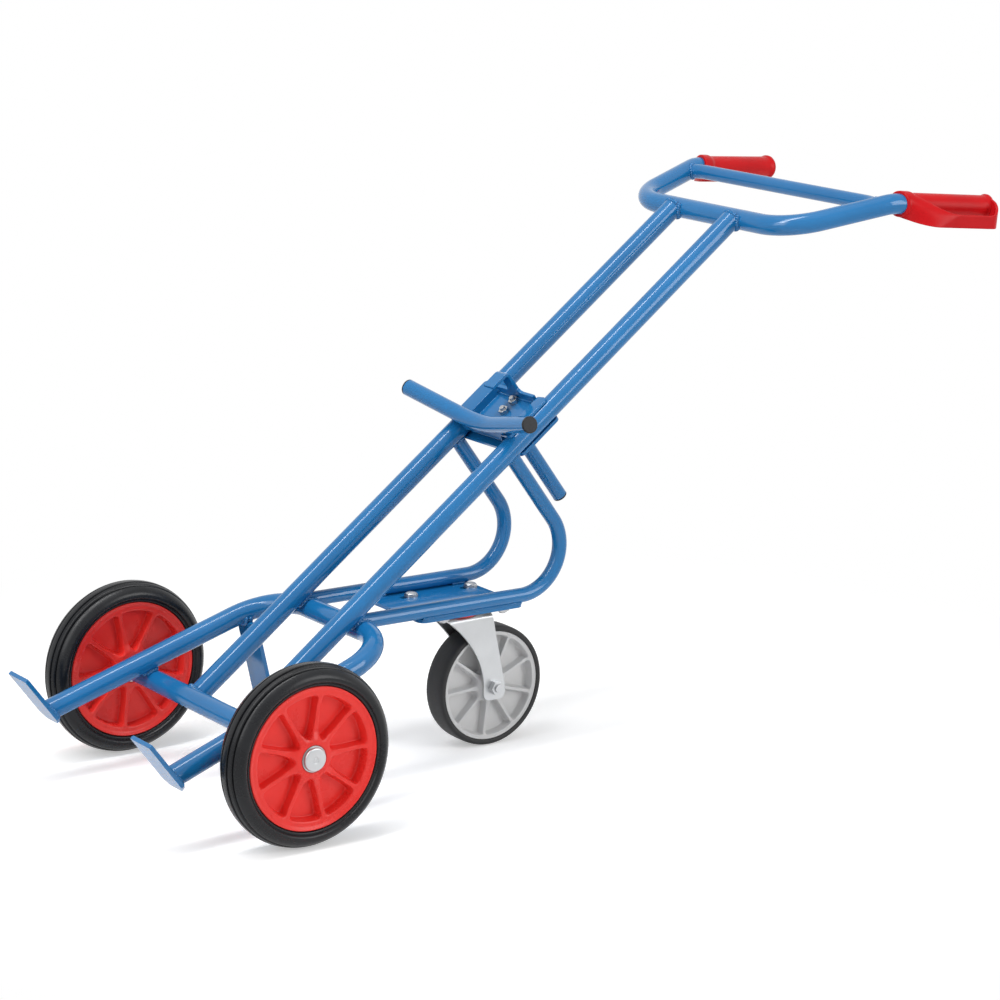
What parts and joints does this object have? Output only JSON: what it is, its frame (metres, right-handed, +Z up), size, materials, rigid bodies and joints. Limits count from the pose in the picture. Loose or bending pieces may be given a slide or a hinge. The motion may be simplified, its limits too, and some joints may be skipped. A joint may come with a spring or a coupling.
{
  "type": "drum trolley",
  "caption": "Tubular steel drum trolley with toe plates, a sliding rim hook with cradle, rubber-tyred wheels, a rear swivel castor and guarded grips.",
  "frame": {"origin": "on the floor, in the middle of the footprint", "axes": "+X across to the right-hand wheel, +Y from the toe plates to the handle, +Z up"},
  "size_m": [0.5754, 1.3902, 0.8057],
  "materials": {
    "blue_coat": "glossy powder coat",
    "zinc": "zinc plated, satin",
    "bright_steel": "drawn bar",
    "tyre_rubber": "moulded rubber, satin",
    "red_plastic": "moulded, satin gloss",
    "nylon": "plain",
    "grey_rubber": "matt",
    "grey_plastic": "moulded, satin",
    "red_grip": "moulded, satin",
    "black_plastic": "moulded"
  },
  "bodies": {
    "frame": {"main_tube_left": "blue_coat", "main_tube_right": "blue_coat", "axle_tube": "blue_coat", "lower_bow": "blue_coat", "toe_plate_left": "blue_coat", "toe_plate_right": "blue_coat", "foot_step": "blue_coat", "side_loop_left": "blue_coat", "side_loop_right": "blue_coat", "castor_plate": "blue_coat", "handle_frame": "blue_coat", "handle_brace": "blue_coat", "castor_top_plate": "zinc", "castor_race": "zinc", "castor_kingpin": "zinc", "castor_bolts": "zinc", "castor_bolt_washers": "zinc", "castor_bolt_nuts": "zinc", "axle_cap_left": "zinc", "axle_cap_right": "zinc", "wheel_washers": "zinc", "axle_rod": "bright_steel", "grip_left": "red_grip", "grip_right": "red_grip"},
    "left_wheel": {"tyre_left": "tyre_rubber", "rim_left": "red_plastic", "hub_bush_left": "nylon"},
    "right_wheel": {"tyre_right": "tyre_rubber", "rim_right": "red_plastic", "hub_bush_right": "nylon"},
    "castor_swivel": {"castor_fork": "zinc", "castor_seal": "red_plastic", "castor_axle": "zinc", "castor_axle_nut": "zinc", "castor_sleeve": "zinc"},
    "castor_wheel": {"castor_tread": "grey_rubber", "castor_rim": "grey_plastic", "castor_bush": "nylon"},
    "carriage": {"carriage_trough": "blue_coat", "rim_hook": "blue_coat", "cradle_tube": "blue_coat", "cradle_cap_left": "black_plastic", "cradle_cap_right": "black_plastic", "clamp_plate": "blue_coat", "pull_tube": "blue_coat", "pull_cap": "black_plastic", "carriage_studs": "zinc", "carriage_nuts": "zinc", "carriage_spacers": "zinc"}
  },
  "joints": [
    {"name": "left_wheel_spin", "type": "hinge", "parent": "frame", "child": "left_wheel", "pos_m": [-0.238, -0.48629, 0.125], "axis": [1, 0, 0], "continuous": true},
    {"name": "right_wheel_spin", "type": "hinge", "parent": "frame", "child": "right_wheel", "pos_m": [0.238, -0.48629, 0.125], "axis": [1, 0, 0], "continuous": true},
    {"name": "castor_turn", "type": "hinge", "parent": "frame", "child": "castor_swivel", "pos_m": [0, -0.07729, 0.203], "axis": [0, 0, 1], "continuous": true},
    {"name": "castor_wheel_spin", "type": "hinge", "parent": "castor_swivel", "child": "castor_wheel", "pos_m": [0, -0.02528, 0.09], "axis": [1, 0, 0], "continuous": true},
    {"name": "hook_slide", "type": "slide", "parent": "frame", "child": "carriage", "axis": [0, 0.7923, 0.6101], "range_m": [0, 0.38]}
  ]
}
